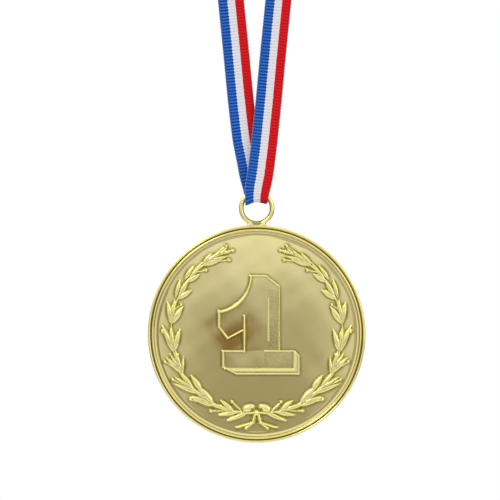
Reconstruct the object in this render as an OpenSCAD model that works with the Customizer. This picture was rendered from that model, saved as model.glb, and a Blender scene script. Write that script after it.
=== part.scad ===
// Winner's medal on a striped neck ribbon.
// The medal hangs upright and faces -Y. +X is to its right as a viewer sees it, +Z is up.
// The origin is on the inside of the ribbon's top arch, where it rests on the neck or a peg.

/* [Medal] */
// Outer diameter of the medal
medal_d = 70; // [67:1:71]
// Height of the hanging loop's centre above the medal's centre
loop_rise = 40.5; // [40:0.1:41]
// Thickness of the round wire shape of the hanging loop
loop_wire_d = 1.6; // [1.4:0.1:1.7]
// Inner diameter of the hanging loop
loop_hole_d = 8.4; // [8.4:0.1:8.6]
// Width of the foot that joins the hanging loop to the case
loop_foot_w = 6.2; // [5:0.1:7]

/* [Back case] */
// Depth from the middle of the hanging loop to the back face
back_depth = 2.6; // [2.4:0.1:3.4]
// Height of the case lip in front of the middle of the loop
lip_height = 1.7; // [1.5:0.1:1.8]
// Thickness of the case floor under the label recess
floor_t = 1.2; // [0.8:0.1:1.3]
// Width of the flat border round the label recess
back_border_w = 3.7; // [3:0.1:5]

/* [Front plate] */
// Thickness of the front plate at its field
plate_t = 1.2; // [1:0.1:1.4]
// Height of the round bead above the field
bead_height = 1.1; // [0.8:0.1:1.3]
// Height of the leaves above the field
leaf_height = 0.6; // [0.4:0.1:0.8]
// Height of the numeral's ridges above the field
numeral_height = 0.6; // [0.4:0.1:0.8]
// Width of the numeral's ridges
ridge_w = 0.5; // [0.4:0.05:0.6]

/* [Ribbon] */
// Width of the ribbon
ribbon_w = 8.2; // [7.8:0.1:8.4]
// Thickness of the ribbon
ribbon_t = 0.7; // [0.5:0.05:0.75]
// Radius of the arch over the neck, at the middle of the ribbon's thickness
arch_r = 26.5; // [26:0.1:27]

/* [Hidden] */
$fn = 96;

// Heights. The medal's own parts are drawn flat, z up towards the viewer, then stood upright.
disc_z = -320.5;
loop_z = disc_z + loop_rise;
medal_r = medal_d / 2;

// The case: a cup with a stepped lip. The plate drops onto the step.
lip_w = 0.6;
wall_w = 1.8;
ledge_z = 0.2;
recess_depth = 0.4;
edge_round = 0.8;
plate_gap = 0.05;
plate_r = medal_r - lip_w - plate_gap;
field_z = ledge_z + plate_t;
floor_z = -back_depth + recess_depth + floor_t;

// The locating pins between the case and the plate
pin_d = 2.4;
pin_gap = 0.05;
pin_ring_r = 22;
pin_length = 0.9;
boss_d = 5;
pin_angles = [90, 210, 330];

// The rim of the plate: an outer groove, a round bead, and a cove down to the field
groove_w = 0.4;
groove_z = 1;
bead_r = 0.45;
cove_w = 1.6;

// The wreath: two mirrored branches that rise from a bow at the bottom
branch_end = 156;
cluster_first = 17;
cluster_step = 15.4;
branch_r_low = 25.3;
branch_r_gain = 2.8;

// Arch of the ribbon over the neck
arch_x = -0.5;
arch_z = -(arch_r - ribbon_t / 2);
arch_step = 8;
lap_lift = ribbon_t + 0.1;

function on_arch(angle, lift) = [
    arch_x + (arch_r + lift) * cos(angle), 0, arch_z + (arch_r + lift) * sin(angle), 90, ribbon_w
];

// Rows of the ribbon's route: x, y, z, turn about Z of its width, and width.
right_strand = [
    [23.2, 0, -52, 90, ribbon_w],
    [21.3, -0.1, -70, 87, ribbon_w],
    [19.3, -0.2, -90, 78, ribbon_w],
    [17.3, -0.3, -110, 65, ribbon_w],
    [15.3, -0.4, -130, 50, ribbon_w],
    [13.3, -0.5, -150, 35, ribbon_w],
    [11.3, -0.6, -170, 20, ribbon_w],
    [9.3, -0.7, -190, 8, ribbon_w],
    [7.3, -0.8, -210, 0, ribbon_w],
    [5.3, -0.9, -230, 0, ribbon_w],
    [3.4, -1, -250, 0, ribbon_w],
    [2.1, -1.1, -262, 0, ribbon_w],
    [1, -1.3, -270, 0, ribbon_w],
];
fold = [
    [0.3, -1.3, -274, 0, 8],
    [0.1, -1.3, -276, 0, 7.6],
    [0, -1.25, -277.4, 0, 7.3],
    [0, -1.1, -278, 0, 7.2],
    [0, -0.6, -278.5, 0, 7.1],
    [0, 0, -278.65, 0, 7.1],
    [0, 0.6, -278.5, 0, 7.1],
    [0, 1.1, -278, 0, 7.2],
    [0, 1.25, -277.4, 0, 7.3],
    [-0.1, 1.3, -276, 0, 7.6],
    [-0.5, 1.3, -274, 0, 8],
];
left_strand = [
    [-1.6, 1.3, -270, 0, ribbon_w],
    [-3, 1.1, -262, 0, ribbon_w],
    [-4.6, 1, -250, 0, ribbon_w],
    [-6.6, 0.9, -230, 0, ribbon_w],
    [-8.6, 0.8, -210, 0, ribbon_w],
    [-10.6, 0.7, -190, 8, ribbon_w],
    [-12.6, 0.6, -170, 20, ribbon_w],
    [-14.6, 0.5, -150, 35, ribbon_w],
    [-16.6, 0.4, -130, 50, ribbon_w],
    [-18.6, 0.3, -110, 65, ribbon_w],
    [-20.6, 0.2, -90, 78, ribbon_w],
    [-22.6, 0.1, -70, 87, ribbon_w],
    [-24.4, 0, -52, 90, ribbon_w],
];
// The ribbon starts under its own lap, goes over the arch, down, through the loop and back up.
ribbon_route = [
    for (angle = [114 : -arch_step : -6]) on_arch(angle, 0),
    each right_strand,
    each fold,
    each left_strand,
    for (angle = [186 : -arch_step : 130]) on_arch(angle, 0),
    on_arch(122, lap_lift),
    for (angle = [114 : -arch_step : 82]) on_arch(angle, lap_lift),
];

// Rows of stitches through the lap
stitch_rows = [88, 108];
stitch_count = 5;
stitch_pitch = 1.5;
stitch_length = 1.1;
stitch_w = 0.35;
stitch_proud = 0.15;

function unit(v) = v / norm(v);
function place(row) = [row[0], row[1], row[2]];
function heading(route, i) =
    unit(place(route[min(i + 1, len(route) - 1)]) - place(route[max(i - 1, 0)]));

// One eight-sided ring of the ribbon: a flat section with eased edges
function ribbon_ring(route, i) =
    let (
        along = heading(route, i),
        turn = route[i][3],
        raw = [cos(turn), sin(turn), 0],
        across = unit(raw - (raw * along) * along),
        up = cross(along, across),
        half_w = route[i][4] / 2,
        half_t = ribbon_t / 2,
        ease = ribbon_t / 4
    )
    [
        for (corner = [
            [-half_w, -ease], [-half_w + ease, -half_t], [half_w - ease, -half_t], [half_w, -ease],
            [half_w, ease], [half_w - ease, half_t], [-half_w + ease, half_t], [-half_w, ease]
        ])
        place(route[i]) + corner[0] * across + corner[1] * up
    ];

module swept_ribbon(route) {
    sides = 8;
    last = len(route) - 1;
    points = [for (i = [0 : last]) each ribbon_ring(route, i)];
    faces = [
        [for (j = [0 : sides - 1]) j],
        [for (j = [0 : sides - 1]) last * sides + sides - 1 - j],
        for (i = [0 : last - 1])
        for (j = [0 : sides - 1])
        let (a = i * sides + j, b = i * sides + (j + 1) % sides)
        // The two broad faces are cut the same way, so a turned stretch keeps its thickness
        each j < sides / 2
            ? [[a, a + sides, b + sides], [a, b + sides, b]]
            : [[a, a + sides, b], [b, a + sides, b + sides]]
    ];
    polyhedron(points, faces);
}

// Stands a part that was drawn flat upright, at the medal's centre
module upright() {
    translate([0, 0, disc_z])
        rotate([90, 0, 0])
        children();
}

// The cup's half section, turned about the medal's axis
module case_cup() {
    rotate_extrude()
        polygon([
            [0, -back_depth + recess_depth],
            [medal_r - edge_round - back_border_w, -back_depth + recess_depth],
            [medal_r - edge_round - back_border_w, -back_depth],
            [medal_r - edge_round, -back_depth],
            [medal_r - edge_round * 0.3, -back_depth + edge_round * 0.3],
            [medal_r, -back_depth + edge_round],
            [medal_r, lip_height - 0.25],
            [medal_r - 0.1, lip_height - 0.05],
            [medal_r - lip_w / 2, lip_height],
            [medal_r - lip_w, lip_height - 0.15],
            [medal_r - lip_w, ledge_z],
            [medal_r - wall_w, ledge_z],
            [medal_r - wall_w, floor_z],
            [0, floor_z],
        ]);
}

module hanging_loop() {
    wire_ring_r = (loop_hole_d + loop_wire_d) / 2;
    foot_low = sqrt(pow(medal_r, 2) - pow(loop_foot_w / 2, 2)) - 1;
    foot_top = loop_rise - sqrt(pow(wire_ring_r, 2) - pow(loop_foot_w / 2, 2)) + 0.2;
    foot_t = 2;
    dip_w = 2.6;
    dip_depth = 0.3;
    translate([0, loop_rise, 0])
        rotate_extrude()
        translate([wire_ring_r, 0])
        circle(d = loop_wire_d, $fn = 32);
    difference() {
        translate([-loop_foot_w / 2, foot_low, -foot_t / 2])
            cube([loop_foot_w, foot_top - foot_low, foot_t]);
        translate([0, loop_rise, -foot_t])
            cylinder(r = wire_ring_r, h = foot_t * 2);
        for (side = [-1, 1])
            translate([-dip_w / 2, medal_r - 0.1, side * (foot_t / 2 + 1 - dip_depth) - 1])
            cube([dip_w, 3, 2]);
    }
}

module pin_boss() {
    boss_top = ledge_z - 0.1;
    difference() {
        translate([0, 0, floor_z - 0.2])
            cylinder(d = boss_d, h = boss_top - floor_z + 0.2, $fn = 48);
        translate([0, 0, floor_z])
            cylinder(d = pin_d + 2 * pin_gap, h = boss_top - floor_z + 1, $fn = 48);
    }
}

module back_case() {
    color("khaki")
        upright() {
            case_cup();
            hanging_loop();
            for (angle = pin_angles)
                translate([pin_ring_r * cos(angle), pin_ring_r * sin(angle), 0])
                pin_boss();
        }
}

// The plate's half section: field, cove, round bead and outer groove
module plate_disc() {
    bead_top = field_z + bead_height;
    bead_out = plate_r - groove_w;
    bead_mid = bead_out - bead_r;
    bead_base = bead_top - bead_r;
    rotate_extrude() {
        polygon([
            [0, ledge_z],
            [plate_r, ledge_z],
            [plate_r, groove_z],
            [bead_out, groove_z],
            [bead_out, bead_base],
            [bead_out - 2 * bead_r, bead_base],
            [bead_out - 2 * bead_r - cove_w * 0.3, field_z + bead_height * 0.22],
            [bead_out - 2 * bead_r - cove_w, field_z],
            [0, field_z],
        ]);
        translate([bead_mid, bead_base])
            intersection() {
                circle(r = bead_r, $fn = 32);
                translate([-bead_r, 0])
                    square([2 * bead_r, bead_r]);
            }
    }
}

// Outline of the block numeral 1 with its cast shadow side, moved inwards by inset
module numeral_outline(inset) {
    flag_arc_r = 11.3;
    difference() {
        polygon([
            [-12.6 + inset, 19 - inset],
            [3 - 0.34 * inset, 19 - inset],
            [7.5 - inset, 15.5 - 0.49 * inset],
            [7.5 - inset, -5.2 - inset],
            [12.2 - 0.45 * inset, -5.2 - inset],
            [13.8 - inset, -7 - 0.38 * inset],
            [13.8 - inset, -13 + inset],
            [-6.5 + 0.24 * inset, -13 + inset],
            [-11.2 + inset, -10.6 + 0.61 * inset],
            [-11.2 + inset, -5.2 - inset],
            [-4.3 + inset, -5.2 - inset],
            [-4.3 + inset, 1.4 + 1.74 * inset],
            [-9.3 + 0.23 * inset, -1.5 + 1.29 * inset],
            [-12.6 + inset, 2.5 + 0.36 * inset],
        ]);
        translate([-13.6, 18.8])
            circle(r = flag_arc_r + inset);
    }
}

module numeral() {
    bed_height = 0.15;
    sink = 0.3;
    base_bar_z = -11.2;
    translate([0, 0, field_z - sink]) {
        linear_extrude(sink + bed_height)
            numeral_outline(ridge_w / 2);
        linear_extrude(sink + numeral_height)
            difference() {
                numeral_outline(0);
                numeral_outline(ridge_w);
            }
        // The edges between the numeral's face and its shadow side
        linear_extrude(sink + numeral_height * 0.6) {
            translate([-10.9, base_bar_z])
                square([23, ridge_w]);
            translate([3.6, -2.2])
                square([ridge_w, 13.3]);
        }
        // The stem's left edge runs on up into the flag
        linear_extrude(sink + numeral_height)
            translate([-4.3, 1])
            square([ridge_w, 4.9]);
    }
}

// A pointed leaf along +X from its stalk end
module leaf(length, width) {
    polygon([
        [0, 0],
        [0.3 * length, width * 0.48],
        [0.65 * length, width * 0.42],
        [length, 0],
        [0.65 * length, -width * 0.42],
        [0.3 * length, -width * 0.48],
    ]);
}

function branch_r(u) = branch_r_low + branch_r_gain * (1 - pow((165 - u) / 165, 2));

// Places children on the left branch, u degrees up from the bow, turned to lean outwards
module on_branch(u, lean, out) {
    translate([-(branch_r(u) + out) * sin(u), -(branch_r(u) + out) * cos(u)])
        rotate(180 - u + lean)
        children();
}

module branch() {
    stem_w = 0.6;
    step = 7.7;
    for (u = [4 : step : branch_end])
        on_branch(u, 0, 0)
        translate([-0.2, -stem_w / 2])
        square([4.2, stem_w]);
    for (i = [0 : 9]) {
        u = cluster_first + i * cluster_step;
        on_branch(u - 2, 17, 0.6)
            leaf(7.4, 1.5);
        on_branch(u, -2, 0.2)
            leaf(7.2, 1.3);
        on_branch(u - 2, -26, -0.5)
            leaf(6.2, 1.6);
        on_branch(u + 1, 33 - 74 * (i % 2), 0.2) {
            translate([0, -0.15])
                square([4.6, 0.3]);
            translate([4.6, 0])
                circle(d = 1, $fn = 16);
        }
    }
    // Short leaves below the first cluster
    on_branch(13, 22, 0.9)
        leaf(6.2, 1.2);
    on_branch(7, 29, 1.3)
        leaf(6.4, 1.3);
}

module bow() {
    loop_w = 4.2;
    loop_h = 2.5;
    for (side = [-1, 1]) {
        translate([side * 2.3, -23.9])
            difference() {
                union() {
                    square([loop_w - loop_h, loop_h], center = true);
                    for (end = [-1, 1])
                        translate([end * (loop_w - loop_h) / 2, 0])
                        circle(d = loop_h, $fn = 32);
                }
                circle(d = 0.8, $fn = 16);
            }
        translate([side * 0.5, -25.6])
            rotate(side > 0 ? -55 : -125)
            translate([0, -0.4])
            square([3.6, 0.8]);
        translate([side * 0.8, -28.4])
            rotate(side > 0 ? -14 : -166)
            translate([0, -0.3])
            square([5.6, 0.6]);
    }
    translate([0, -25.3])
        circle(d = 1.6, $fn = 24);
}

module wreath() {
    sink = 0.3;
    translate([0, 0, field_z - sink])
        linear_extrude(sink + leaf_height) {
            branch();
            mirror([1, 0])
                branch();
            bow();
        }
}

module front_plate() {
    color("gold")
        upright() {
            plate_disc();
            numeral();
            wreath();
            for (angle = pin_angles)
                translate([pin_ring_r * cos(angle), pin_ring_r * sin(angle), ledge_z - pin_length])
                cylinder(d = pin_d, h = pin_length + 0.3, $fn = 48);
        }
}

module ribbon() {
    color("royalblue")
        swept_ribbon(ribbon_route);
}

module ribbon_stitching() {
    stitch_h = lap_lift + ribbon_t + 2 * stitch_proud;
    color("white")
        for (angle = stitch_rows, i = [0 : stitch_count - 1])
        translate([arch_x, 0, arch_z])
        rotate([0, 90 - angle, 0])
        translate([-stitch_w / 2, (i - (stitch_count - 1) / 2) * stitch_pitch - stitch_length / 2, 0])
        translate([0, 0, arch_r - ribbon_t / 2 - stitch_proud])
        cube([stitch_w, stitch_length, stitch_h]);
}

back_case();
front_plate();
ribbon();
ribbon_stitching();
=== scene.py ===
import bpy
import numpy as np
from mathutils import Matrix, Vector


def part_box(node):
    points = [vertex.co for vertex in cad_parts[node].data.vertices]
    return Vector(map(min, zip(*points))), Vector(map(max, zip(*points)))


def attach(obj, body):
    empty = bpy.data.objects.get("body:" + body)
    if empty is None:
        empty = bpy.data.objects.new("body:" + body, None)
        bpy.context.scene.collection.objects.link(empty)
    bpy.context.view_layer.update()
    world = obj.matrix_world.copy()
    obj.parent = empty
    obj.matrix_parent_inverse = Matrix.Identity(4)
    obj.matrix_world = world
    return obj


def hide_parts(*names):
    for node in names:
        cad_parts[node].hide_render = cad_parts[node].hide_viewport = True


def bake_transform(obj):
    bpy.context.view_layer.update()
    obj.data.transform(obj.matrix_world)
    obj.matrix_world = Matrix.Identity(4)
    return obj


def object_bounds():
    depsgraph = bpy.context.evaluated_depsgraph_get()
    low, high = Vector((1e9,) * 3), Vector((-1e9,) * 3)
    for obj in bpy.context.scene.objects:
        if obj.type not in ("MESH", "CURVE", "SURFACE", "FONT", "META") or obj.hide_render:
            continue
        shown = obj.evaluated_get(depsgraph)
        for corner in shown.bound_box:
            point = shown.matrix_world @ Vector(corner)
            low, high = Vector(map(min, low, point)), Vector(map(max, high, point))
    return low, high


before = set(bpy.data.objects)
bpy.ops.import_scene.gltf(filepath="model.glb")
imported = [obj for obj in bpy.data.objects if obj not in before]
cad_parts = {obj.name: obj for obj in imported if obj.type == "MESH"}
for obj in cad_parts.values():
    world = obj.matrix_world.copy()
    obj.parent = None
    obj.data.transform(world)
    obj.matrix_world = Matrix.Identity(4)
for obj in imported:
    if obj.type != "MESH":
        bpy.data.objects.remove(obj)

# A winner's medal on a striped neck ribbon. It hangs upright and faces -Y.
# Sizes below are in millimetres unless a name says otherwise; meshes are made in metres.
MM = 0.001
CAD_BOX = [[float(v) for v in corner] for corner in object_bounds()]


# ---------------------------------------------------------------- sizes from the frame

case_low, case_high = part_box("back_case")
plate_low, plate_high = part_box("front_plate")
MEDAL_R = (case_high.x - case_low.x) / 2 / MM
MEDAL_Z = (plate_low.z + plate_high.z) / 2 / MM
BACK_DEPTH = case_high.y / MM

LOOP_RISE = 40.5          # the hanging loop's centre above the medal's centre
LOOP_WIRE_R = 0.8
LOOP_RING_R = 5.0
LIP_HEIGHT = 1.7
LIP_W = 0.85
PLATE_GAP = 0.05
PLATE_R = MEDAL_R - LIP_W - PLATE_GAP
LEDGE_Z = 0.2
FIELD_Z = 1.4             # the plate's field, in front of the middle of the loop
RIBBON_W = 8.2
RIBBON_T = 0.7
RIB_PITCH = 1.0


# ---------------------------------------------------------------- camera

# The camera stands far off behind a long lens, so the view is nearly flat
PICTURE_W = 160.9         # what the picture takes in, at the medal
SENSOR_W = 36
CAMERA_Y = -1200.0
CAMERA_X = -2.15
CAMERA_ABOVE_MEDAL = 27.0


def make_camera():
    data = bpy.data.cameras.new("camera")
    data.sensor_width = SENSOR_W
    data.lens = SENSOR_W * abs(CAMERA_Y) / PICTURE_W
    camera = bpy.data.objects.new("camera", data)
    camera.location = (CAMERA_X * MM, CAMERA_Y * MM, (MEDAL_Z + CAMERA_ABOVE_MEDAL) * MM)
    camera.rotation_euler = (np.pi / 2, 0, 0)
    bpy.context.collection.objects.link(camera)
    bpy.context.scene.camera = camera


make_camera()


# ---------------------------------------------------------------- mesh helpers

def new_mesh(name, points, faces, sharp_deg=None):
    """A mesh piece from points in millimetres and a list or array of faces."""
    mesh = bpy.data.meshes.new(name)
    points = np.asarray(points, float) * MM
    if isinstance(faces, np.ndarray):
        mesh.vertices.add(len(points))
        mesh.vertices.foreach_set("co", points.ravel())
        mesh.loops.add(faces.size)
        mesh.loops.foreach_set("vertex_index", faces.ravel())
        mesh.polygons.add(len(faces))
        mesh.polygons.foreach_set("loop_start", np.arange(0, faces.size, faces.shape[1]))
        mesh.update(calc_edges=True)
    else:
        mesh.from_pydata(points.tolist(), [], faces)
    mesh.validate()
    mesh.polygons.foreach_set("use_smooth", np.ones(len(mesh.polygons), bool))
    piece = bpy.data.objects.new(name, mesh)
    bpy.context.collection.objects.link(piece)
    if sharp_deg is not None:
        mark_sharp(mesh, sharp_deg)
    return piece


def mark_sharp(mesh, degrees):
    mesh.set_sharp_from_angle(angle=np.radians(degrees))


def quads(rows, cols, close_rows=False, start=0):
    """Faces of a grid of rows x cols points, closed along its rows and, if asked, end to end."""
    last_row = rows if close_rows else rows - 1
    i, j = np.meshgrid(np.arange(last_row), np.arange(cols), indexing="ij")
    i, j = i.ravel(), j.ravel()
    right = (j + 1) % cols
    down = (i + 1) % rows
    return start + np.stack(
        [i * cols + j, down * cols + j, down * cols + right, i * cols + right], axis=1
    )


def upright(points):
    """Points drawn flat, z towards the viewer, stood up at the medal's centre."""
    x, y, z = np.asarray(points, float).T
    return np.stack([x, -z, y + MEDAL_Z], axis=1)


# ---------------------------------------------------------------- ribbon: route and mesh

# The route repeats the ribbon's route in the CAD model: x, y, z, turn in degrees, width
RIGHT_STRAND = [
    (23.2, 0, -52, 90, 8.2), (21.3, -0.1, -70, 87, 8.2), (19.3, -0.2, -90, 78, 8.2),
    (17.3, -0.3, -110, 65, 8.2), (15.3, -0.4, -130, 50, 8.2), (13.3, -0.5, -150, 35, 8.2),
    (11.3, -0.6, -170, 20, 8.2), (9.3, -0.7, -190, 8, 8.2), (7.3, -0.8, -210, 0, 8.2),
    (5.3, -0.9, -230, 0, 8.2), (3.4, -1, -250, 0, 8.2), (2.1, -1.1, -262, 0, 8.2),
    (1, -1.3, -270, 0, 8.2),
]
FOLD = [
    (0.3, -1.3, -274, 0, 8), (0.1, -1.3, -276, 0, 7.6), (0, -1.25, -277.4, 0, 7.3),
    (0, -1.1, -278, 0, 7.2), (0, -0.6, -278.5, 0, 7.1), (0, 0, -278.65, 0, 7.1),
    (0, 0.6, -278.5, 0, 7.1), (0, 1.1, -278, 0, 7.2), (0, 1.25, -277.4, 0, 7.3),
    (-0.1, 1.3, -276, 0, 7.6), (-0.5, 1.3, -274, 0, 8),
]
LEFT_STRAND = [
    (-1.6, 1.3, -270, 0, 8.2), (-3, 1.1, -262, 0, 8.2), (-4.6, 1, -250, 0, 8.2),
    (-6.6, 0.9, -230, 0, 8.2), (-8.6, 0.8, -210, 0, 8.2), (-10.6, 0.7, -190, 8, 8.2),
    (-12.6, 0.6, -170, 20, 8.2), (-14.6, 0.5, -150, 35, 8.2), (-16.6, 0.4, -130, 50, 8.2),
    (-18.6, 0.3, -110, 65, 8.2), (-20.6, 0.2, -90, 78, 8.2), (-22.6, 0.1, -70, 87, 8.2),
    (-24.4, 0, -52, 90, 8.2),
]
ARCH_R = 26.5
ARCH_X = -0.5
ARCH_Z = -(ARCH_R - RIBBON_T / 2)
ARCH_STEP = 8
LAP_LIFT = 0.8


def on_arch(degrees, lift):
    a = np.radians(degrees)
    return (ARCH_X + (ARCH_R + lift) * np.cos(a), 0, ARCH_Z + (ARCH_R + lift) * np.sin(a), 90, RIBBON_W)


def ribbon_route():
    over = [on_arch(a, 0) for a in range(114, -7, -ARCH_STEP)]
    back = [on_arch(a, 0) for a in range(186, 129, -ARCH_STEP)]
    lap = [on_arch(a, LAP_LIFT) for a in range(122, 81, -ARCH_STEP)]
    return np.array(over + RIGHT_STRAND + FOLD + LEFT_STRAND + back + lap, float)


def smooth_route(rows, step):
    """The route's rows at an even step in millimetres, on a smooth curve through them."""
    along = np.r_[0, np.cumsum(np.linalg.norm(np.diff(rows[:, :3], axis=0), axis=1))]
    slope = np.gradient(rows, along, axis=0)
    wanted = np.linspace(0, along[-1], int(round(along[-1] / step)) + 1)
    k = np.clip(np.searchsorted(along, wanted, side="right") - 1, 0, len(rows) - 2)
    span = (along[k + 1] - along[k])[:, None]
    t = (wanted[:, None] - along[k][:, None]) / span
    return wanted, (
        (2 * t**3 - 3 * t**2 + 1) * rows[k]
        + (t**3 - 2 * t**2 + t) * span * slope[k]
        + (3 * t**2 - 2 * t**3) * rows[k + 1]
        + (t**3 - t**2) * span * slope[k + 1]
    )


def route_frames(line):
    """For each row: the direction along the ribbon, across it from blue to red, and out of it."""
    ahead = np.gradient(line[:, :3], axis=0)
    ahead /= np.linalg.norm(ahead, axis=1, keepdims=True)
    turn = np.radians(line[:, 3])
    across = np.stack([np.cos(turn), np.sin(turn), np.zeros(len(line))], axis=1)
    across -= (across * ahead).sum(1, keepdims=True) * ahead
    across /= np.linalg.norm(across, axis=1, keepdims=True)
    return ahead, across, np.cross(ahead, across)


RIB_SAMPLES = 6
RIB_DEPTH = 0.13
GROOVE_HALF_T = 0.2
EDGE_SCALLOP = 0.18
EDGE_YARN = 0.15
SELVEDGE_POWER = 12       # how late the thickness falls away towards an edge
HALF_RING = 12            # faces across the ribbon
# Just above the loop the rear strand is set over to the right: heights and shifts
REAR_Y = 0.5
REAR_HEIGHTS = (-276, -272, -266, -258)
REAR_SHIFTS = (0.2, 0.4, 0.4, 0)
# In the loop the middle of the fold rides up and the blue corner hangs lowest
FOLD_TOP_Z = -271
FOLD_BOTTOM_Z = FOLD[5][2]
FOLD_PLACES = (-1, -0.85, -0.3, 0.1, 0.4, 1)
FOLD_LIFTS = (-0.4, -0.2, 0.7, 0.85, 0.8, 0.75)


def section_places():
    """One ring of the ribbon: places across it from -1 to 1 and back, and half thicknesses."""
    even = np.linspace(-1, 1, HALF_RING + 1)
    front = 0.5 * np.sin(np.pi / 2 * even) + 0.5 * even
    place = np.r_[front, front[-2:0:-1]]
    side = np.r_[np.ones(len(front)), -np.ones(len(front) - 2)]
    return place, side * np.sqrt(np.clip(1 - np.abs(place) ** SELVEDGE_POWER, 0, 1))


def make_ribbon():
    """The grosgrain ribbon, with its ribs as real geometry."""
    along, line = smooth_route(ribbon_route(), RIB_PITCH / RIB_SAMPLES)
    set_over = np.interp(line[:, 2], REAR_HEIGHTS, REAR_SHIFTS)
    line[:, 0] += np.where(line[:, 1] > REAR_Y, set_over, 0)
    _, across, out = route_frames(line)
    phase = (np.arange(len(line)) % RIB_SAMPLES) / RIB_SAMPLES
    rib = np.sqrt(np.clip(1 - (2 * phase - 1) ** 2, 0, 1))
    half_w = line[:, 4] / 2 + EDGE_YARN - EDGE_SCALLOP * (1 - rib)
    half_t = GROOVE_HALF_T + RIB_DEPTH * rib

    place, thick = section_places()
    points = (
        line[:, None, :3]
        + (half_w[:, None] * place[None])[..., None] * across[:, None]
        + (half_t[:, None] * thick[None])[..., None] * out[:, None]
    )
    in_fold = np.clip((FOLD_TOP_Z - line[:, 2]) / (FOLD_TOP_Z - FOLD_BOTTOM_Z), 0, 1)
    in_fold = in_fold**2 * (3 - 2 * in_fold)
    points[..., 2] += in_fold[:, None] * np.interp(place, FOLD_PLACES, FOLD_LIFTS)[None]
    cols = len(place)
    faces = quads(len(line), cols).tolist()
    faces.append(list(range(cols)))
    last = (len(line) - 1) * cols
    faces.append(list(range(last + cols - 1, last - 1, -1)))
    piece = new_mesh("ribbon_weave", points.reshape(-1, 3), faces)
    point_attribute(piece, "across_mm", np.tile(place * RIBBON_W / 2, len(line)))
    point_attribute(piece, "along_mm", np.repeat(along, cols))
    return piece


def path_from_fold():
    """The ribbon's middle line in metres, once round from the fold in the loop and back to it."""
    rows = [FOLD[5]] + FOLD[4::-1] + RIGHT_STRAND[::-1]
    rows += [on_arch(a, 0) for a in range(-6, 187, ARCH_STEP)]
    rows += LEFT_STRAND[::-1] + FOLD[:4:-1]
    return [tuple(v * MM for v in row[:3]) for row in rows]


STITCH_ANGLES = (88, 108)
STITCH_COUNT = 5
STITCH_PITCH = 1.5
STITCH_LENGTH = 1.1
THREAD_R = 0.14
THREAD_RISE = 0.02        # the middle of the thread above the ribbon
STITCH_SQUARENESS = 0.45  # 1 is an ellipse, and a smaller power is squarer


def make_stitching():
    """Loops of thread through both layers of the lap, in two rows."""
    sides, steps = 8, 28
    points, faces = [], []
    half_h = (LAP_LIFT + RIBBON_T) / 2 + THREAD_RISE
    half_l = STITCH_LENGTH / 2 - THREAD_R
    turn = np.linspace(0, 2 * np.pi, steps, endpoint=False)
    ring_y = half_l * np.sign(np.cos(turn)) * np.abs(np.cos(turn)) ** STITCH_SQUARENESS
    ring_n = half_h * np.sign(np.sin(turn)) * np.abs(np.sin(turn)) ** STITCH_SQUARENESS
    around = np.linspace(0, 2 * np.pi, sides, endpoint=False)
    for degrees in STITCH_ANGLES:
        a = np.radians(degrees)
        up = np.array([np.cos(a), 0, np.sin(a)])
        side = np.array([-np.sin(a), 0, np.cos(a)])
        middle = np.array([ARCH_X, 0, ARCH_Z]) + (ARCH_R + LAP_LIFT / 2) * up
        for i in range(STITCH_COUNT):
            centre = middle + np.array([0, (i - (STITCH_COUNT - 1) / 2) * STITCH_PITCH, 0])
            line = centre + ring_y[:, None] * np.array([0, 1, 0]) + ring_n[:, None] * up
            ahead = np.roll(line, -1, axis=0) - np.roll(line, 1, axis=0)
            ahead /= np.linalg.norm(ahead, axis=1, keepdims=True)
            over = np.cross(ahead, side)
            tube = line[:, None] + THREAD_R * (
                np.cos(around)[None, :, None] * side + np.sin(around)[None, :, None] * over[:, None]
            )
            start = len(points) * steps * sides
            points.append(tube.reshape(-1, 3))
            faces.append(quads(steps, sides, close_rows=True, start=start)[:, ::-1])
    return new_mesh("lap_stitches", np.concatenate(points), np.concatenate(faces))


# ---------------------------------------------------------------- front plate: a relief

# Leaves of one branch: degrees up from the bow, lean outwards, step outwards, length, width
LEAVES = [
    (7, 29, 0, 6.4, 1.4), (13, 22, 0, 6.1, 1.4), (17, -23, 0, 4.9, 1.4), (20, 3, 0, 6.5, 1.3),
    (32, 9, 1.0, 6.9, 1.4), (34, 14, 0.4, 5.7, 1.3), (32, -14, 0, 7.2, 2.0), (36, 0, 0, 6, 1.3),
    (44, 23, 0, 8.2, 1.5), (46, 13, 0, 8.2, 1.2), (44, -11, -1.2, 5.6, 1.7), (50, 1, 0, 6.6, 1.3),
    (62, 18, 0, 6.8, 1.6), (62, 5, 0, 7, 1.2), (63, -10, 0, 7, 1.2), (62, -31, 0, 4.9, 1.1),
    (78, 11.5, 0, 8.6, 1.7), (80, -5, 0, 7, 1.4), (78, -28.5, 0, 7, 1.8), (97, 17, 0, 6.6, 1.8),
    (98, 0, 0, 7, 1.3), (97, -27, 0, 6.3, 1.8), (114, 9, 0.8, 5.6, 1.5), (115, -5, 0, 7, 1.4),
    (114, -34, 0, 5, 1.6), (127, 3, 1.1, 5.2, 1.5), (128, 0, 0, 6.8, 1.2), (127, -22, 0, 4.4, 1.5),
    (142, 11, 0.4, 4.5, 1.3), (143, 2, 0, 6, 1.3), (142, -19, 0, 6.4, 1.6), (151, 21, 0, 3, 1.1),
    (155, 21, 0, 3, 1.0), (157, -3, 0, 3, 1.1), (147, -19, 0, 5.6, 1.2),
]
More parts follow.
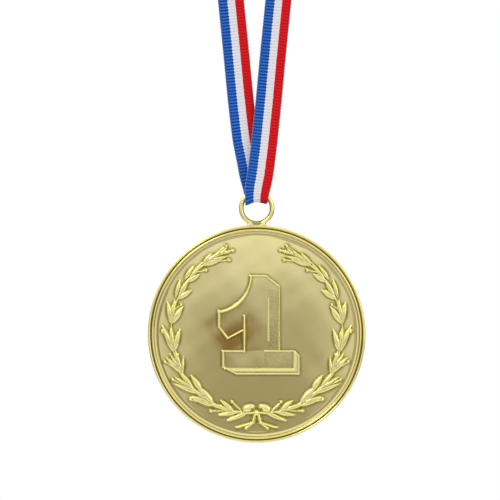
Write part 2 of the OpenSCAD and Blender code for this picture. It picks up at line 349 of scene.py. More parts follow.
# Berries on stalks: degrees up from the bow, lean outwards, step outwards, stalk length
BERRIES = [
    (10, -35, 0, 4.8), (18, 19, 0, 6.8), (34, 17, 1.2, 6.2), (46, 17, 0.4, 8.6), (62, 28, 0, 6.8),
    (72, -34, 0, 1.8), (80, 21, 0, 6.6), (106, -38, 0, 3.0), (135, -33, 0, 3.6), (153, 9, 0.9, 4.2),
    (157, -6, 0, 3.5), (148, -26, -0.7, 5.7),
]
LEAF_H = 0.62
LEAF_LENGTHEN = 1.08      # every leaf is drawn this much longer and wider than listed
LEAF_WIDEN = 1.18
VEIN_DEPTH = 0.09
STEM_W = 0.6
STEM_H = 0.42
STEM_END = 158            # degrees up from the bow
STEM_STEP = 2
STALK_W = 0.42
STALK_H = 0.34
BERRY_R = 0.55
BERRY_H = 0.62
BRANCH_R_LOW = 25.3
BRANCH_R_GAIN = 2.8
BRANCH_SWEEP = 165


def branch_r(u):
    return BRANCH_R_LOW + BRANCH_R_GAIN * (1 - ((BRANCH_SWEEP - u) / BRANCH_SWEEP) ** 2)


def on_branch(u, lean, out):
    """(x, y, heading) of a point on the left branch, u degrees up from the bow."""
    a = np.radians(u)
    r = branch_r(u) + out
    return -r * np.sin(a), -r * np.cos(a), np.radians(180 - u + lean)


def raise_to(height, mask, value):
    height[mask] = np.maximum(height[mask], value)


def local(x, y, x0, y0, heading):
    dx, dy = x - x0, y - y0
    return dx * np.cos(heading) + dy * np.sin(heading), dy * np.cos(heading) - dx * np.sin(heading)


def add_leaf(height, x, y, x0, y0, heading, length, width):
    """A pointed leaf with a domed section and a sunk vein along its middle."""
    u, v = local(x, y, x0, y0, heading)
    near = (u > 0) & (u < length) & (np.abs(v) < width / 2)
    u, v = u[near] / length, v[near]
    half = width / 2 * np.sin(np.pi * u**0.85) ** 0.7 + 1e-6
    t = np.abs(v) / half
    crown = 0.62 + 0.38 * np.sin(np.pi * u**0.9)
    vein = VEIN_DEPTH * np.exp(-((v / 0.14) ** 2)) * np.clip(6 * (1 - u), 0, 1)
    value = LEAF_H * crown * np.clip(1 - t**2, 0, 1) ** 0.75 - vein
    raise_to(height, near, np.where(t < 1, value, 0))


def add_bar(height, x, y, start, end, width, tall, flat=0.0):
    """A ridge with a round top, or a flatter one, from start to end."""
    (x0, y0), (x1, y1) = start, end
    length = np.hypot(x1 - x0, y1 - y0)
    u, v = local(x, y, x0, y0, np.arctan2(y1 - y0, x1 - x0))
    off = np.hypot(u - np.clip(u, 0, length), v) / (width / 2)
    near = off < 1
    value = tall * (1 - off[near] ** (2 + 4 * flat)) ** 0.7
    raise_to(height, near, value)


def add_dome(height, x, y, x0, y0, radius, tall):
    off = np.hypot(x - x0, y - y0) / radius
    near = off < 1
    raise_to(height, near, tall * np.sqrt(1 - off[near] ** 2))


def add_branch(height, x, y):
    for u in np.arange(STEM_STEP, STEM_END, STEM_STEP):
        a, b = on_branch(u, 0, 0), on_branch(u + 1.1 * STEM_STEP, 0, 0)
        add_bar(height, x, y, a[:2], b[:2], STEM_W, STEM_H)
    for u, lean, out, reach in BERRIES:
        x0, y0, heading = on_branch(u, lean, out)
        tip = (x0 + reach * np.cos(heading), y0 + reach * np.sin(heading))
        add_bar(height, x, y, (x0, y0), tip, STALK_W, STALK_H)
        add_dome(height, x, y, *tip, BERRY_R, BERRY_H)
    for u, lean, out, length, width in LEAVES:
        start = on_branch(u, lean, out)
        add_leaf(height, x, y, *start, length * LEAF_LENGTHEN, width * LEAF_WIDEN)


# The bow's right half. Loop: x, y, half length, half width, lean and height
BOW_LOOP = (2.6, -23.8, 2.1, 1.25, 68, 0.8)
BOW_DIMPLE = (1.5, -24.2, 0.5, 0.5)        # x, y, radius, depth
# Tail, its two twigs and the first twig beside the knot: both ends, width, height, flatness
BOW_BARS = [
    ((0.5, -25.6), (1.2, -28.4), 1.15, 0.65, 0.3), ((1.2, -28.5), (6.2, -30.0), 0.95, 0.55, 0),
    ((1.2, -28.5), (3.4, -30.2), 0.85, 0.5, 0), ((0.4, -25.2), (4.2, -25.5), 0.9, 0.5, 0),
]
BOW_BERRIES = [(3.5, -30.3, 0.5, 0.5), (6.3, -30.0, 0.45, 0.5)]
BOW_KNOT = (0, -25.3, 0.95, 0.9)


def add_half_bow(height, x, y):
    """A pillowy loop with a dimple, and a tail with twigs."""
    loop_x, loop_y, half_l, half_w, lean, tall = BOW_LOOP
    dimple_x, dimple_y, radius, depth = BOW_DIMPLE
    u, v = local(x, y, loop_x, loop_y, np.radians(90 + lean))
    off = np.hypot(u / half_l, v / half_w)
    near = off < 1
    from_dimple = np.hypot(x[near] - dimple_x, y[near] - dimple_y)
    dimple = depth * np.exp(-((from_dimple / radius) ** 2))
    raise_to(height, near, tall * np.sqrt(1 - off[near] ** 2) - dimple)
    for start, end, width, bar_h, flat in BOW_BARS:
        add_bar(height, x, y, start, end, width, bar_h, flat)
    for berry in BOW_BERRIES:
        add_dome(height, x, y, *berry)


# Ridges of the numeral: x and y of both ends, width, height
NUMERAL_RIDGES = [
    ((-2.3, 18.75), (3.0, 18.75), 0.5, 0.4), ((3.0, 18.75), (7.3, 15.3), 0.42, 0.4),
    ((7.3, 15.3), (7.3, -5.0), 0.42, 0.38), ((2.6, -5.45), (12.1, -5.45), 0.42, 0.38),
    ((12.1, -5.45), (13.6, -7.1), 0.42, 0.38), ((13.6, -7.1), (13.6, -12.8), 0.42, 0.38),
    ((13.6, -12.8), (-6.4, -12.8), 0.42, 0.38), ((-6.4, -12.8), (-10.9, -10.5), 0.5, 0.4),
    ((-10.8, -10.5), (-10.8, -5.6), 0.9, 0.5), ((-10.9, -5.5), (-4.2, -5.5), 0.5, 0.45),
    ((-3.95, -5.5), (-3.95, 5.7), 0.9, 0.55), ((-4.4, 1.2), (-9.3, -1.35), 0.5, 0.42),
    ((-9.3, -1.35), (-12.25, 2.4), 0.5, 0.42), ((-12.15, 2.5), (-12.15, 7.5), 0.9, 0.5),
    ((3.8, -2.2), (3.8, 11.2), 0.36, 0.22), ((-10.4, -11.15), (11.9, -11.15), 0.4, 0.5),
    ((11.95, -11.1), (11.95, -5.6), 0.4, 0.45),
]
NUMERAL_OUTLINE = [
    (-12.6, 19), (3, 19), (7.5, 15.5), (7.5, -5.2), (12.2, -5.2), (13.8, -7), (13.8, -13),
    (-6.5, -13), (-11.2, -10.6), (-11.2, -5.2), (-4.3, -5.2), (-4.3, 1.4), (-9.3, -1.5),
    (-12.6, 2.5),
]
FLAG_ARC = (-13.6, 18.8, 11.3)   # centre and radius of the flag's hollow curve
FLAG_RIDGE_HALF_W = 0.45
FLAG_RIDGE_H = 0.48
FLAG_LEFT = -12.6
FLAG_TOP = 18.9
BED_H = 0.16
FOOT_TOP = -5.2
FOOT_LEAN = 0.016         # the foot's face leans back, in millimetres a millimetre
FACE_BOTTOM = -11.1       # where the foot's face ends and its shadow sides begin
FACE_RIGHT = 11.9
SHADOW_H = 0.5
SHADOW_SLOPE = 0.24


def inside_outline(x, y, outline):
    inside = np.zeros(x.shape, bool)
    for (x0, y0), (x1, y1) in zip(outline, outline[1:] + outline[:1]):
        if y0 != y1:
            crosses = (y0 > y) != (y1 > y)
            inside ^= crosses & (x < (x1 - x0) * (y - y0) / (y1 - y0) + x0)
    return inside


def shadow_sides(x, y):
    """Where the sloped sides under and beside the foot are, and how far out of its face."""
    down, right = FACE_BOTTOM - y, x - FACE_RIGHT
    under = (down > 0) & (right < down)
    beside = (right > 0) & (right >= down) & (y < FOOT_TOP - 0.2)
    return under, beside, down, right


def add_numeral(height, x, y):
    arc_x, arc_y, arc_r = FLAG_ARC
    from_arc = np.hypot(x - arc_x, y - arc_y)
    bed = inside_outline(x, y, NUMERAL_OUTLINE) & (from_arc > arc_r)
    raise_to(height, bed, BED_H + FOOT_LEAN * np.clip(FOOT_TOP - y[bed], 0, 8))
    under, beside, down, right = shadow_sides(x, y)
    for mask, away in ((under & bed, down), (beside & bed, right)):
        raise_to(height, mask, SHADOW_H - SHADOW_SLOPE * away[mask])
    for start, end, width, tall in NUMERAL_RIDGES:
        add_bar(height, x, y, start, end, width, tall)
    off = np.abs(from_arc - arc_r - FLAG_RIDGE_HALF_W) / FLAG_RIDGE_HALF_W
    near = (off < 1) & (x > FLAG_LEFT) & (y < FLAG_TOP)
    raise_to(height, near, FLAG_RIDGE_H * (1 - off[near] ** 2) ** 0.7)


def stippled(x, y):
    """The frosted parts of the numeral: the right of its stem and of its foot."""
    stem = (x > 3.8) & (x < 7.1) & (y > -5.4) & (y < 14.5)
    foot = (x > 2.5) & (x < 11.8) & (y > -11) & (y <= -5.6)
    return stem | foot


RIM_COVE_W = 1.05
COVE_H = 0.14
BEAD_R = 0.42
BEAD_H = 0.62
GROOVE_W = 0.27
GROOVE_TOP = 0.3
GROOVE_DROP = 0.5
GROOVE_WALL_W = 0.12
BEAD_OUT = PLATE_R - GROOVE_W
BEAD_IN = BEAD_OUT - 2 * BEAD_R
DOME = 0.3                # how far the middle of the field stands in front of its edge
FIELD_R = 31.5


def rim_profile(r):
    """Height above the field's edge of the rim's cove, round bead and outer groove."""
    bead_mid = BEAD_OUT - BEAD_R
    cove = np.clip((r - BEAD_IN + RIM_COVE_W) / RIM_COVE_W, 0, 1)
    round_top = np.sqrt(np.clip(1 - ((r - bead_mid) / BEAD_R) ** 2, 0, 1))
    on_bead = np.abs(r - bead_mid) < BEAD_R
    height = np.where(on_bead, COVE_H + BEAD_H * round_top, COVE_H * cove**3)
    drop = np.clip((r - BEAD_OUT) / GROOVE_WALL_W, 0, 1)
    return np.where(r >= BEAD_OUT, GROOVE_TOP * (1 - drop) - GROOVE_DROP * drop, height)


# Slow waves of a thin moulded face: height, waves along x and y in radians a millimetre, phase
WAVES = [
    (0.004, 0.33, 0.21, 0.6), (0.0035, 0.17, -0.41, 2.0), (0.002, 0.62, 0.48, 4.2),
    (0.0015, -0.55, 0.81, 1.1),
]


def waviness(x, y):
    return sum(tall * np.sin(kx * x + ky * y + phase) for tall, kx, ky, phase in WAVES)


def relief_at(x, y):
    """Height of everything raised on the field."""
    height = np.zeros_like(x)
    add_numeral(height, x, y)
    for side in (x, -x):
        add_branch(height, side, y)
        add_half_bow(height, side, y)
    add_dome(height, x, y, *BOW_KNOT)
    return height


BLUR_STEP = 0.12
BLUR_REACH = 3            # cells either side, three times over
BLUR_HALF = 33            # half the side of the blurred square


def blurred_relief(x, y):
    """The same heights, softened over about a millimetre."""
    ticks = np.arange(-BLUR_HALF, BLUR_HALF + 0.01, BLUR_STEP)
    soft = relief_at(*np.meshgrid(ticks, ticks, indexing="ij"))
    for _ in range(3):
        for axis in (0, 1):
            shifts = range(-BLUR_REACH, BLUR_REACH + 1)
            soft = sum(np.roll(soft, shift, axis=axis) for shift in shifts) / len(shifts)
    u = np.clip((x + BLUR_HALF) / BLUR_STEP, 0, len(ticks) - 1.001)
    v = np.clip((y + BLUR_HALF) / BLUR_STEP, 0, len(ticks) - 1.001)
    i, j = u.astype(int), v.astype(int)
    s, t = u - i, v - j
    low = soft[i, j] * (1 - t) + soft[i, j + 1] * t
    high = soft[i + 1, j] * (1 - t) + soft[i + 1, j + 1] * t
    return low * (1 - s) + high * s


def point_attribute(piece, name, values):
    data = piece.data.attributes.new(name, "FLOAT", "POINT").data
    data.foreach_set("value", np.asarray(values, np.float32).ravel())


PLATE_COLS = 720
# Rings of the plate: from and to radius, and step. They are closest where the relief is finest
PLATE_RINGS = [
    (0.4, 2, 0.2), (2, 20.4, 0.15), (20.4, 22, 0.4), (22, 31.2, 0.16),
    (31.2, PLATE_R - 0.04, 0.08),
]
CENTRE_H = 0.16           # the numeral's bed at the plate's centre


def plate_faces(rings):
    """Quads over the rings and down to the back, with a fan at the centre and one behind."""
    j = np.arange(PLATE_COLS)
    step = (j + 1) % PLATE_COLS
    last = rings * PLATE_COLS
    centre = last + PLATE_COLS
    cap = np.stack([np.full(PLATE_COLS, centre), j, step], axis=1)
    shut = np.stack([np.full(PLATE_COLS, centre + 1), last + step, last + j], axis=1)
    return quads(rings + 1, PLATE_COLS).tolist() + cap.tolist() + shut.tolist()


def mark_frost_and_painted_light(piece, x, y, r, relief):
    """Where the face's plating is frosted, where a painted highlight lightens the crests, and where
    painted shade darkens the hollows.
    """
    over = relief - blurred_relief(x, y)
    under, beside, _, _ = shadow_sides(x, y)
    sloped = (under | beside) & inside_outline(x, y, NUMERAL_OUTLINE)
    crease = np.exp(-(((r - BEAD_IN) / 0.22) ** 2)) + (r > BEAD_OUT)
    marks = {
        "stipple": stippled(x, y),
        # crest: a painted highlight where the relief stands above its softened self, weaker on the
        # numeral foot's sloped sides
        "crest": np.clip(over / 0.2, 0, 1) * np.where(sloped, 0.55, 1),
        # hollow: painted shade where the relief lies below its softened self, along the bead's inner foot
        # and over the outer groove
        "painted_shade": np.clip(-over / 0.11 + 0.7 * crease, 0, 1),
    }
    unmarked = np.zeros(len(piece.data.vertices) - r.size)
    for name, values in marks.items():
        point_attribute(piece, name, np.r_[values.ravel(), unmarked])


def make_front_plate():
    """The face: one dense relief on rings, closed behind with a plain back."""
    radii = np.concatenate([np.arange(*ring) for ring in PLATE_RINGS] + [[PLATE_R]])
    radii = np.unique(radii.round(3))
    angle = np.linspace(0, 2 * np.pi, PLATE_COLS, endpoint=False)
    r, a = np.meshgrid(radii, angle, indexing="ij")
    x, y = r * np.cos(a), r * np.sin(a)
    relief = relief_at(x, y)
    swell = DOME * (1 - np.clip(r / FIELD_R, 0, 1) ** 2) + waviness(x, y) * (r < FIELD_R)
    z = FIELD_Z + swell + relief + rim_profile(r)
    front = np.stack([x, y, z], axis=-1).reshape(-1, 3)
    back = np.stack([
        PLATE_R * np.cos(angle), PLATE_R * np.sin(angle), np.full(PLATE_COLS, LEDGE_Z)
    ], axis=1)
    middles = [[0, 0, FIELD_Z + DOME + CENTRE_H], [0, 0, LEDGE_Z]]
    points = np.concatenate([front, back, middles])
    piece = new_mesh("face_plate", upright(points), plate_faces(len(radii)), sharp_deg=70)
    mark_frost_and_painted_light(piece, x, y, r, relief)
    return piece


# ---------------------------------------------------------------- back case and its loop

RECESS_R = 30.5
RECESS_DEPTH = 0.4
FLOOR_T = 1.2
WALL_W = 1.8
CASE_SEGMENTS = 288
CORNER_R = 0.15           # the recess's edge
OUTER_R = 0.8             # the round between the back and the side


def arc_points(cx, cy, radius, start, end, count):
    a = np.radians(np.linspace(start, end, count))
    return [(cx + radius * np.cos(t), cy + radius * np.sin(t)) for t in a]


def case_profile():
    """Half section of the cup, from the middle of its back round to the middle of its floor."""
    lip_mid = MEDAL_R - LIP_W / 2
    back = -BACK_DEPTH
    floor = back + RECESS_DEPTH + FLOOR_T
    profile = [(RECESS_R - 0.35, back + RECESS_DEPTH)]
    profile += [(RECESS_R - 0.1, back + RECESS_DEPTH - 0.08), (RECESS_R, back + CORNER_R)]
    profile += arc_points(RECESS_R + CORNER_R, back + CORNER_R, CORNER_R, 180, 270, 4)
    profile += arc_points(MEDAL_R - OUTER_R, back + OUTER_R, OUTER_R, -90, 0, 9)
    profile += arc_points(lip_mid, LIP_HEIGHT - LIP_W / 2, LIP_W / 2, 0, 180, 13)
    profile += [(MEDAL_R - LIP_W, LEDGE_Z), (MEDAL_R - WALL_W, LEDGE_Z), (MEDAL_R - WALL_W, floor)]
    return profile


def revolved(name, profile, segments):
    profile = np.array(profile)
    a = np.linspace(0, 2 * np.pi, segments, endpoint=False)
    ring = np.stack([
        profile[:, :1] * np.cos(a), profile[:, :1] * np.sin(a),
        np.repeat(profile[:, 1:], segments, axis=1),
    ], axis=-1).reshape(-1, 3)
    rows = len(profile)
    faces = quads(rows, segments)[:, ::-1].tolist()
    faces.append(list(range(segments - 1, -1, -1)))
    faces.append([(rows - 1) * segments + k for k in range(segments)])
    return new_mesh(name, upright(ring), faces)


def torus(name, ring_r, wire_r, centre_y):
    steps, sides = 144, 36
    a = np.linspace(0, 2 * np.pi, steps, endpoint=False)[:, None]
    b = np.linspace(0, 2 * np.pi, sides, endpoint=False)[None]
    r = ring_r + wire_r * np.cos(b)
    points = np.stack([
        r * np.cos(a), centre_y + r * np.sin(a), np.broadcast_to(wire_r * np.sin(b), (steps, sides))
    ], axis=-1).reshape(-1, 3)
    return new_mesh(name, upright(points), quads(steps, sides, close_rows=True))


# Half section of the foot, as shares of its half width and half thickness: grooved front and back
FOOT_FRONT = [
    (-1, -0.55), (-0.86, -1), (-0.5, -1), (-0.36, -0.72), (0.36, -0.72), (0.5, -1), (0.86, -1),
    (1, -0.55),
]
FOOT_HALF_W = 3.05
FOOT_HALF_T = 1.0
FOOT_ROWS = 22


def loop_foot():
    """The foot between the loop and the rim: narrow at its waist, flared where it lands."""
    low, high = MEDAL_R - LIP_W + 0.2, LOOP_RISE - LOOP_RING_R + 0.95
    section = FOOT_FRONT + [(u, -v) for u, v in FOOT_FRONT[::-1]]
    points = []
    for y in np.linspace(low, high, FOOT_ROWS):
        flare = 0.55 * np.clip((MEDAL_R + 0.35 - y) / 0.6, 0, 1) ** 2
        half_w = FOOT_HALF_W + flare - 0.25 * np.clip((y - MEDAL_R - 0.3) / 1.0, 0, 1)
        half_t = FOOT_HALF_T + 0.6 * flare - 0.15 * np.clip((y - MEDAL_R) / 1.2, 0, 1)
        points += [(half_w * u, y, half_t * v) for u, v in section]
    cols = len(section)
    faces = quads(FOOT_ROWS, cols).tolist()
    faces.append(list(range(cols)))
    faces.append([(FOOT_ROWS - 1) * cols + k for k in range(cols - 1, -1, -1)])
    return new_mesh("loop_foot", upright(points), faces)


def apply_modifiers(piece):
    evaluated = piece.evaluated_get(bpy.context.evaluated_depsgraph_get())
    mesh = bpy.data.meshes.new_from_object(evaluated)
    piece.modifiers.clear()
    old = piece.data
    piece.data = mesh
    bpy.data.meshes.remove(old)


def join_solid(piece, other, operation="UNION"):
    """Boolean of two closed solids; the second one is used up."""
    cut = piece.modifiers.new("join", "BOOLEAN")
    cut.operation, cut.object, cut.solver = operation, other, "MANIFOLD"
    apply_modifiers(piece)
    bpy.data.objects.remove(other)


def shade_case(case):
    """Mark painted shade on the plating: inside the hanging loop, and a little less in its foot's recess.
    """
    points = np.empty(3 * len(case.data.vertices))
    case.data.vertices.foreach_get("co", points)
    x, y, z = points.reshape(-1, 3).T / MM
    above = z - MEDAL_Z
    from_loop = np.hypot(x, above - LOOP_RISE)
    inside = np.clip((LOOP_RING_R - 0.28 - from_loop) / 0.2, 0, 1)
    recess = np.clip((1.75 - np.abs(x)) / 0.25, 0, 1) * np.clip((above - MEDAL_R) / 0.2, 0, 1)
    recess *= (y < 0) & (above < LOOP_RISE)
    point_attribute(case, "painted_shade", np.maximum(inside, 0.75 * recess))


HOLE_HALF_T = 2.5
HOLE_SEGMENTS = 96
MELT_VOXEL = 0.11


def make_back_case():
    """The cup with its moulded loop: loop and foot are melted together, then joined to the cup."""
    loop = torus("back_shell_loop", LOOP_RING_R, LOOP_WIRE_R, LOOP_RISE)
    hole = revolved("loop_hole", [(LOOP_RING_R, -HOLE_HALF_T), (LOOP_RING_R, HOLE_HALF_T)], HOLE_SEGMENTS)
    hole.data.transform(Matrix.Translation((0, 0, LOOP_RISE * MM)))
    foot = loop_foot()
    join_solid(foot, hole, "DIFFERENCE")
    join_solid(loop, foot)
    remesh = loop.modifiers.new("melt", "REMESH")
    remesh.mode, remesh.voxel_size = "VOXEL", MELT_VOXEL * MM
    remesh.use_smooth_shade = True
    smooth = loop.modifiers.new("ease", "SMOOTH")
    smooth.factor, smooth.iterations = 0.5, 5
    apply_modifiers(loop)
    case = revolved("back_shell", case_profile(), CASE_SEGMENTS)
    join_solid(case, loop)
    mesh = case.data
    mesh.polygons.foreach_set("use_smooth", np.ones(len(mesh.polygons), bool))
    mark_sharp(mesh, 38)
    shade_case(case)
    return case


# ---------------------------------------------------------------- materials

def set_stops(color_ramp, stops):
    """Give a colour ramp these (place, colour) stops, in rising order."""
    elements = color_ramp.elements
    elements[1].position = 1
    elements[0].position = stops[0][0]
    elements[0].color = (*stops[0][1], 1)
    for place, color in stops[1:]:
        elements.new(place).color = (*color, 1)
    elements.remove(elements[len(elements) - 1])


class Nodes:
    """A short way to build a material's node tree."""

    def __init__(self, name):
        self.material = bpy.data.materials.new(name)
        self.material.use_nodes = True
        self.tree = self.material.node_tree
        self.shader = self.tree.nodes["Principled BSDF"]

    def add(self, kind, **settings):
        node = self.tree.nodes.new(kind)
        for key, value in settings.items():
            setattr(node, key, value)
        return node

    def link(self, a, b):
        self.tree.links.new(a, b)

    def noise(self, scale, detail=4.0, rough=0.5):
        node = self.add("ShaderNodeTexNoise")
        node.inputs["Scale"].default_value = scale
        node.inputs["Detail"].default_value = detail
        node.inputs["Roughness"].default_value = rough
        self.link(self.position(), node.inputs["Vector"])
        return node.outputs["Fac"]

    def position(self):
        found = self.tree.nodes.get("place") or self.add("ShaderNodeTexCoord", name="place")
        return found.outputs["Object"]

    def attribute(self, name):
        return self.add("ShaderNodeAttribute", attribute_name=name).outputs["Fac"]

    def ramp(self, fac, stops, mode="LINEAR"):
        node = self.add("ShaderNodeValToRGB")
        node.color_ramp.interpolation = mode
        set_stops(node.color_ramp, stops)
        self.link(fac, node.inputs["Fac"])
        return node.outputs["Color"]

    def math(self, kind, a, b=None, c=None):
        node = self.add("ShaderNodeMath", operation=kind)
        for socket, value in zip(node.inputs, (a, b, c)):
            if value is None:
                continue
            if isinstance(value, (int, float)):
                socket.default_value = value
            else:
                self.link(value, socket)
        return node.outputs[0]

    def span(self, value, low, high, to_low=0, to_high=1, steps="LINEAR"):
        node = self.add("ShaderNodeMapRange", interpolation_type=steps)
        for name, v in (("From Min", low), ("From Max", high), ("To Min", to_low), ("To Max", to_high)):
            node.inputs[name].default_value = v
        self.link(value, node.inputs["Value"])
        return node.outputs["Result"]

    def mix(self, fac, a, b):
        node = self.add("ShaderNodeMix", data_type="RGBA")
        for socket, value in ((node.inputs[0], fac), (node.inputs[6], a), (node.inputs[7], b)):
            if isinstance(value, (int, float)):
                socket.default_value = value
            elif isinstance(value, tuple):
                socket.default_value = (*value, 1)
            else:
                self.link(value, socket)
        return node.outputs[2]

    def bump(self, height, distance, strength, normal=None):
        node = self.add("ShaderNodeBump")
        node.inputs["Distance"].default_value = distance
        node.inputs["Strength"].default_value = strength
        self.link(height, node.inputs["Height"])
        if normal is not None:
            self.link(normal, node.inputs["Normal"])
        return node.outputs["Normal"]

    def set(self, socket, value):
        target = self.shader.inputs[socket]
        if isinstance(value, (int, float)):
            target.default_value = value
        elif isinstance(value, tuple):
            target.default_value = (*value, 1)
        else:
            self.link(value, target)


GOLD = (0.88, 0.79, 0.36)
GOLD_WARM = (0.88, 0.78, 0.32)
# A paler, yellower gold for the crests: a painted highlight
GOLD_PAINTED_HIGHLIGHT = (0.95, 0.87, 0.30)
# A dark olive brown for painted shade in hollows and creases, also used for the frosting's dark specks
GOLD_PAINTED_SHADE = (0.21, 0.16, 0.015)


def gold_plating(name, grain):
    """Vacuum-metallised pale gold on moulded plastic."""
    n = Nodes(name)
    color = n.mix(n.span(n.noise(60, 3), 0.35, 0.7), GOLD, GOLD_WARM)
    # The crests are lightened towards that gold, a painted highlight, and made rougher
    crest = n.attribute("crest")
    color = n.mix(crest, color, GOLD_PAINTED_HIGHLIGHT)
    # Creases found by pointiness and the marked hollows are darkened: painted shade
    painted_crease_shade = n.span(n.add("ShaderNodeNewGeometry").outputs["Pointiness"], 0.497, 0.46, 0, 0.8)
    painted_shade = n.math("MAXIMUM", n.math("MULTIPLY", n.attribute("painted_shade"), 0.85), painted_crease_shade)
    # The frosted parts get dark specks, the frosting's own grain, mixed in with the painted shade
    specks = n.span(n.noise(2900, 2), 0.42, 0.65, 0, 0.26)
    painted_shade = n.math("MAXIMUM", painted_shade, n.math("MULTIPLY", specks, n.attribute("stipple")))
    n.set("Base Color", n.mix(painted_shade, color, GOLD_PAINTED_SHADE))
    n.set("Metallic", 1.0)
    polish = n.span(n.noise(180, 5, 0.6), 0.3, 0.75, 0.045, 0.065)
    n.set("Roughness", n.math("MULTIPLY_ADD", crest, 0.24, polish))
    frost = n.math("MULTIPLY_ADD", n.attribute("stipple"), 1.5, 1.0)
    fine = n.bump(n.math("MULTIPLY", n.noise(6500, 2), frost), 0.00001, grain)
    n.set("Normal", n.bump(n.noise(420, 2), 0.00005, 0.03, fine))
    return n.material


# Each band in two tones: the lighter for the rib crests, the darker painted shade for the grooves between
# ribs
BLUE = (0.025, 0.17, 0.60)
BLUE_PAINTED_SHADE = (0.003, 0.03, 0.25)
RED = (0.74, 0.006, 0.012)
RED_PAINTED_SHADE = (0.48, 0.001, 0.004)
WHITE = (0.80, 0.78, 0.82)
WHITE_PAINTED_SHADE = (0.68, 0.66, 0.71)
# A bluish white for both edges: a painted highlight where the rounded selvedge catches the light
SELVEDGE_PAINTED_HIGHLIGHT = (0.62, 0.62, 0.80)
SELVEDGE_EDGE = (3.93, 4.05)          # from the middle, where the selvedge begins and is full
BAND_STARTS = (0.0, 0.36, 0.65)       # shares of the width, from the blue edge
YARN_W = 0.22


def woven_ribbon():
    n = Nodes("ribbon_weave")
    across, along = n.attribute("across_mm"), n.attribute("along_mm")
    turns = n.math("MULTIPLY", along, 2 * np.pi / RIB_PITCH)
    crest = n.span(n.math("COSINE", turns), 1, -1)
    wander = n.math("MULTIPLY", n.math("SUBTRACT", n.noise(900, 2), 0.5), 0.2)
    ragged = n.math("MULTIPLY_ADD", n.math("SUBTRACT", crest, 0.5), 0.16, wander)
    place = n.span(n.math("ADD", across, ragged), -RIBBON_W / 2, RIBBON_W / 2)
    light = n.ramp(place, list(zip(BAND_STARTS, (BLUE, WHITE, RED))), "CONSTANT")
    painted_groove_shade = n.ramp(place, list(zip(BAND_STARTS, (BLUE_PAINTED_SHADE, WHITE_PAINTED_SHADE, RED_PAINTED_SHADE))), "CONSTANT")
    yarn = n.math("SINE", n.math("MULTIPLY", across, 2 * np.pi / YARN_W))
    uneven = n.noise(2200, 3)
    # Light tones on the rib crests and dark in the grooves: painted light and shade of the ribs, with
    # random unevenness from the noise
    shade = n.math("ADD", crest, n.math("MULTIPLY", n.math("SUBTRACT", uneven, 0.5), 0.6))
    painted_rib_shade_and_tone = n.mix(n.span(shade, 0, 1), painted_groove_shade, light)
    # The edges are paled towards it: a painted highlight
    edge = n.span(n.math("ABSOLUTE", across), *SELVEDGE_EDGE, 0, 0.6)
    n.set("Base Color", n.mix(edge, painted_rib_shade_and_tone, SELVEDGE_PAINTED_HIGHLIGHT))
    n.set("Roughness", n.span(uneven, 0.3, 0.7, 0.62, 0.85))
    n.set("Sheen Weight", 0.08)
    n.set("Sheen Roughness", 0.4)
    n.set("Specular IOR Level", 0.15)
    threads = n.bump(n.span(yarn, -1, 1), 0.00004, 0.6)
    n.set("Normal", n.bump(uneven, 0.00008, 0.5, threads))
    return n.material


# The ply's grooves darker and its crowns lighter, along the same bands as the bump: painted shade and
# light
THREAD_PAINTED_SHADE = (0.66, 0.65, 0.62)
THREAD_LIGHT = (0.86, 0.85, 0.82)
THREAD_WORN = (0.78, 0.77, 0.74)


def sewing_thread():
    n = Nodes("stitch_thread")
    ply = n.add("ShaderNodeTexWave", wave_type="BANDS", bands_direction="DIAGONAL")
    ply.inputs["Scale"].default_value = 1400
    n.link(n.position(), ply.inputs["Vector"])
    color = n.mix(ply.outputs["Fac"], THREAD_PAINTED_SHADE, THREAD_LIGHT)
    n.set("Base Color", n.mix(n.noise(3000, 2), color, THREAD_WORN))
    n.set("Roughness", n.span(n.noise(1500, 2), 0.3, 0.7, 0.55, 0.75))
    n.set("Sheen Weight", 0.3)
    n.set("Normal", n.bump(ply.outputs["Fac"], 0.00005, 0.7))
    return n.material


# ---------------------------------------------------------------- pieces

ribbon = make_ribbon()
ribbon.data.materials.append(woven_ribbon())
stitches = make_stitching()
stitches.data.materials.append(sewing_thread())
face_plate = make_front_plate()
face_plate.data.materials.append(gold_plating("plate_gold", 0.07))
back_shell = make_back_case()
back_shell.data.materials.clear()
back_shell.data.materials.append(gold_plating("case_gold", 0.12))

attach(stitches, "neck_ribbon")
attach(face_plate, "medal")
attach(back_shell, "medal")
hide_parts("ribbon")
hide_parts("ribbon_stitching")
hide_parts("front_plate")
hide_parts("back_case")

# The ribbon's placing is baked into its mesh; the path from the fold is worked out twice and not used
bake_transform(ribbon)
path_from_fold()[0]
path_from_fold()


# ---------------------------------------------------------------- studio

FLOOR_R = 400
FLOOR_DROP = 140          # below the lowest point of the part
FLOOR_SIDES = 96


def make_floor():
    """A pale disc of floor under the medal, below the picture."""
    z = CAD_BOX[0][2] / MM - FLOOR_DROP
    a = np.linspace(0, 2 * np.pi, FLOOR_SIDES, endpoint=False)
    points = np.stack([FLOOR_R * np.cos(a), FLOOR_R * np.sin(a), np.full(FLOOR_SIDES, z)], axis=1)
    floor = new_mesh("floor", points, [list(range(FLOOR_SIDES))])
    n = Nodes("floor_paint")
    n.set("Base Color", n.mix(n.noise(40, 3), (0.82, 0.82, 0.82), (0.88, 0.88, 0.88)))
    n.set("Roughness", n.span(n.noise(25, 2), 0.3, 0.7, 0.6, 0.8))
    floor.data.materials.append(n.material)


# Name, place, what it points at, side and watts, in metres
LIGHTS = [
    ("key", (-0.5, -0.8, 0.35), (0, 0, -0.28), 0.4, 2.2),
    ("fill", (0.8, -0.7, -0.1), (0, 0, -0.3), 0.6, 0.8),
]


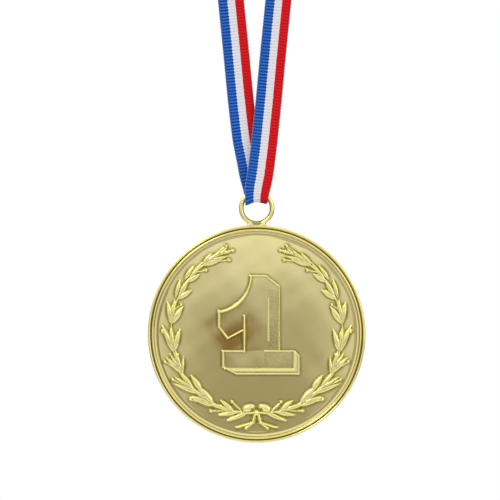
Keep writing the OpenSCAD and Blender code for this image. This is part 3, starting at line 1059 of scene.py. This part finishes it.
def make_light(name, place, target, side, watts):
    data = bpy.data.lights.new(name, "AREA")
    data.size, data.energy = side, watts
    lamp = bpy.data.objects.new(name, data)
    lamp.location = place
    direction = Vector(target) - lamp.location
    lamp.rotation_euler = direction.to_track_quat("-Z", "Y").to_euler()
    bpy.context.collection.objects.link(lamp)


# Brightness and tint seen in the gold, by height of the direction, straight in front
CREW_TONES = [
    (-0.135, (0.86, 0.85, 0.88)), (-0.095, (0.41, 0.37, 0.36)), (-0.06, (0.40, 0.36, 0.345)),
    (-0.035, (0.44, 0.405, 0.41)), (-0.015, (0.47, 0.45, 0.47)), (0.0, (0.55, 0.53, 0.57)),
    (0.02, (0.76, 0.75, 0.82)), (0.036, (0.92, 0.90, 1.02)),
    (0.08, (1.0, 1.0, 1.05)),
]
CREW_LOW = -0.16
CREW_HIGH = 0.08
CREW_SIDES = (0.8, 0.79, 0.84)
CREW_SIDES_EDGE = (0.03, 0.07)        # an edge is where a tone begins and where it is full
CREW_EDGE = (0.965, 0.993)
CAMERA = (0.21, 0.10, 0.02)
CAMERA_AT = (-0.0125, -0.9996, -0.0235)
CAMERA_EDGE = (0.0235, 0.0325)
TENT = (1.0, 1.0, 1.0)
TENT_LOW = (0.42, 0.40, 0.36)
TENT_LOW_EDGE = (-0.7, 0.3)
TENT_SIDES = (0.30, 0.28, 0.24)
TENT_SIDES_EDGE = (0.86, 0.97)


class WorldNodes(Nodes):
    """The same short way, for the light all round."""

    def __init__(self, name):
        self.world = bpy.data.worlds.new(name)
        self.world.use_nodes = True
        self.tree = self.world.node_tree
        self.tree.nodes.clear()

    def ease(self, value, edge, top=1.0):
        return self.span(value, *edge, 0, top, "SMOOTHSTEP")


def crew_color(n, direction, aside, up):
    """The photographer's side, toned by height, with the camera's small ragged spot."""
    tones = n.ramp(n.span(up, CREW_LOW, CREW_HIGH), [
        ((z - CREW_LOW) / (CREW_HIGH - CREW_LOW), tone) for z, tone in CREW_TONES
    ])
    apart = n.add("ShaderNodeVectorMath", operation="DISTANCE")
    n.link(direction, apart.inputs[0])
    apart.inputs[1].default_value = CAMERA_AT
    clumps = n.add("ShaderNodeTexNoise")
    clumps.inputs["Scale"].default_value = 110
    n.link(direction, clumps.inputs["Vector"])
    torn = n.math("MULTIPLY_ADD", clumps.outputs["Fac"], 0.03, apart.outputs["Value"])
    crew = n.mix(n.ease(aside, CREW_SIDES_EDGE, 0.85), tones, CREW_SIDES)
    return n.mix(n.ease(torn, CAMERA_EDGE), CAMERA, crew)


def make_world():
    """A white tent, darker and warmer where a photographer would stand, in front of the medal."""
    n = WorldNodes("studio")
    bpy.context.scene.world = n.world
    direction = n.add("ShaderNodeTexCoord").outputs["Generated"]
    axes = n.add("ShaderNodeSeparateXYZ")
    n.link(direction, axes.inputs[0])
    up = axes.outputs["Z"]
    front = n.math("MULTIPLY", axes.outputs["Y"], -1)
    aside = n.math("ABSOLUTE", axes.outputs["X"])
    tent = n.mix(n.ease(up, TENT_LOW_EDGE), TENT_LOW, TENT)
    tent = n.mix(n.ease(aside, TENT_SIDES_EDGE), tent, TENT_SIDES)
    sky = n.mix(n.ease(front, CREW_EDGE), tent, crew_color(n, direction, aside, up))
    rays = n.add("ShaderNodeLightPath")
    background = n.add("ShaderNodeBackground")
    n.link(n.mix(rays.outputs["Is Camera Ray"], sky, TENT), background.inputs["Color"])
    output = n.add("ShaderNodeOutputWorld")
    n.link(background.outputs[0], output.inputs["Surface"])


make_floor()
make_world()
for light in LIGHTS:
    make_light(*light)
bpy.context.scene.view_settings.view_transform = "Standard"
